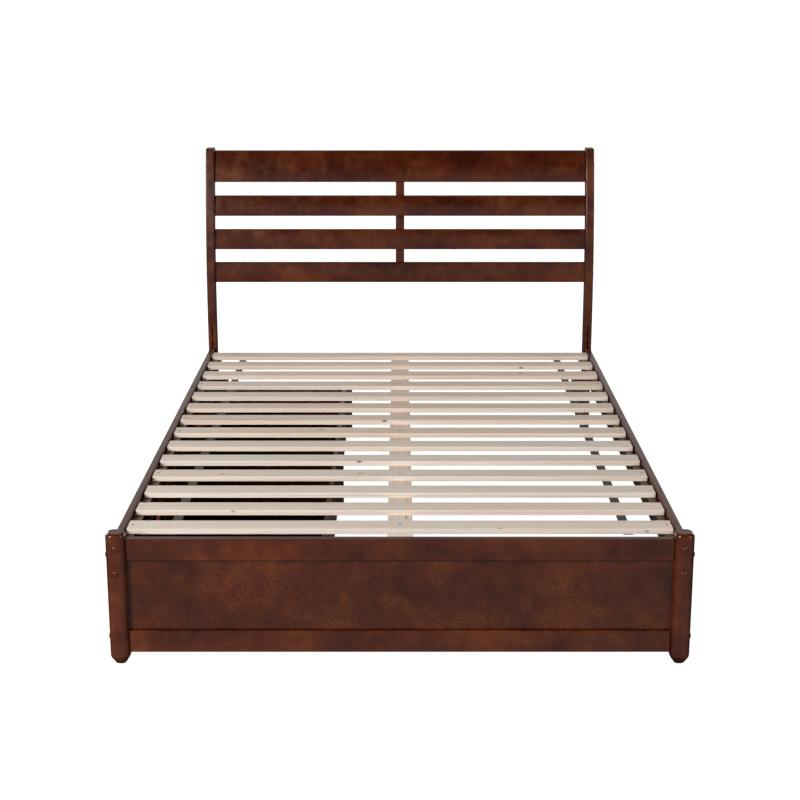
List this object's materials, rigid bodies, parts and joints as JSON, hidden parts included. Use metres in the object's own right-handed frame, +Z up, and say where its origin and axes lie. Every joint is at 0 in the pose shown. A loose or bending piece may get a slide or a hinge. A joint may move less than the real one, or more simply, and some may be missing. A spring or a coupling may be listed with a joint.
{
  "type": "platform bed with storage drawers",
  "caption": "Slatted platform bed with a curved slat headboard, a low panelled footboard and rolling storage drawers under one side.",
  "frame": {"origin": "on the floor, under the middle of the bed's outer box", "axes": "+Z up, +Y along the bed from footboard to headboard, +X across it; the drawers roll out along -X"},
  "size_m": [1.468, 2.1036, 1.071],
  "materials": {
    "walnut": "dark walnut stain under satin lacquer",
    "dark_walnut": "dark walnut stain, matt",
    "pine": "bare planed pine",
    "webbing": "woven dark grey webbing",
    "bolt_caps": "brown satin cap",
    "drawer_bottom": "dark stained sheet",
    "steel": "zinc plated steel strip",
    "wheel_plastic": "dark moulded plastic"
  },
  "bodies": {
    "frame": {"headboard_leg_left": "walnut", "headboard_leg_right": "walnut", "headboard_top_rail": "walnut", "headboard_upper_slat": "walnut", "headboard_middle_slat": "walnut", "headboard_lower_slat": "walnut", "headboard_center_batten": "walnut", "headboard_corner_block_left": "walnut", "headboard_corner_block_right": "walnut", "footboard_post_left": "walnut", "footboard_post_right": "walnut", "footboard_top_rail": "walnut", "footboard_panel": "walnut", "footboard_bottom_rail": "walnut", "rail_bolt_left_upper": "bolt_caps", "rail_bolt_left_lower": "bolt_caps", "rail_bolt_right_upper": "bolt_caps", "rail_bolt_right_lower": "bolt_caps", "footboard_bolt_left_upper": "bolt_caps", "footboard_bolt_left_lower": "bolt_caps", "footboard_bolt_right_upper": "bolt_caps", "footboard_bolt_right_lower": "bolt_caps", "side_rail_left": "walnut", "side_rail_right": "walnut", "slat_cleat_left": "dark_walnut", "slat_cleat_right": "dark_walnut", "slat_01": "pine", "slat_02": "pine", "slat_03": "pine", "slat_04": "pine", "slat_05": "pine", "slat_06": "pine", "slat_07": "pine", "slat_08": "pine", "slat_09": "pine", "slat_10": "pine", "slat_11": "pine", "slat_12": "pine", "slat_13": "pine", "slat_14": "pine", "slat_strap_left": "webbing", "slat_strap_right": "webbing", "center_rail": "pine", "center_leg": "pine"},
    "foot_drawer": {"foot_drawer_front": "walnut", "foot_drawer_side_foot": "walnut", "foot_drawer_side_head": "walnut", "foot_drawer_back": "walnut", "foot_drawer_bottom": "drawer_bottom", "foot_drawer_caster_frame": "steel"},
    "foot_drawer_front_wheels": {"foot_drawer_front_wheels": "wheel_plastic"},
    "foot_drawer_back_wheels": {"foot_drawer_back_wheels": "wheel_plastic"},
    "head_drawer": {"head_drawer_front": "walnut", "head_drawer_side_foot": "walnut", "head_drawer_side_head": "walnut", "head_drawer_back": "walnut", "head_drawer_bottom": "drawer_bottom", "head_drawer_caster_frame": "steel"},
    "head_drawer_front_wheels": {"head_drawer_front_wheels": "wheel_plastic"},
    "head_drawer_back_wheels": {"head_drawer_back_wheels": "wheel_plastic"}
  },
  "joints": [
    {"name": "foot_drawer_slide", "type": "slide", "parent": "frame", "child": "foot_drawer", "axis": [-1, 0, 0], "range_m": [0, 0.5]},
    {"name": "foot_drawer_front_wheels_roll", "type": "hinge", "parent": "foot_drawer", "child": "foot_drawer_front_wheels", "pos_m": [-0.6547, -0.48777, 0.015], "axis": [0, -1, 0], "range_deg": [0, 2000]},
    {"name": "foot_drawer_back_wheels_roll", "type": "hinge", "parent": "foot_drawer", "child": "foot_drawer_back_wheels", "pos_m": [-0.2187, -0.48777, 0.015], "axis": [0, -1, 0], "range_deg": [0, 2000]},
    {"name": "head_drawer_slide", "type": "slide", "parent": "frame", "child": "head_drawer", "axis": [-1, 0, 0], "range_m": [0, 0.5]},
    {"name": "head_drawer_front_wheels_roll", "type": "hinge", "parent": "head_drawer", "child": "head_drawer_front_wheels", "pos_m": [-0.6547, 0.40423, 0.015], "axis": [0, -1, 0], "range_deg": [0, 2000]},
    {"name": "head_drawer_back_wheels_roll", "type": "hinge", "parent": "head_drawer", "child": "head_drawer_back_wheels", "pos_m": [-0.2187, 0.40423, 0.015], "axis": [0, -1, 0], "range_deg": [0, 2000]}
  ],
  "couplings": [
    {"joint": "foot_drawer_front_wheels_roll", "follows": "foot_drawer_slide", "rad_per_m": 66.667},
    {"joint": "foot_drawer_back_wheels_roll", "follows": "foot_drawer_slide", "rad_per_m": 66.667},
    {"joint": "head_drawer_front_wheels_roll", "follows": "head_drawer_slide", "rad_per_m": 66.667},
    {"joint": "head_drawer_back_wheels_roll", "follows": "head_drawer_slide", "rad_per_m": 66.667}
  ]
}
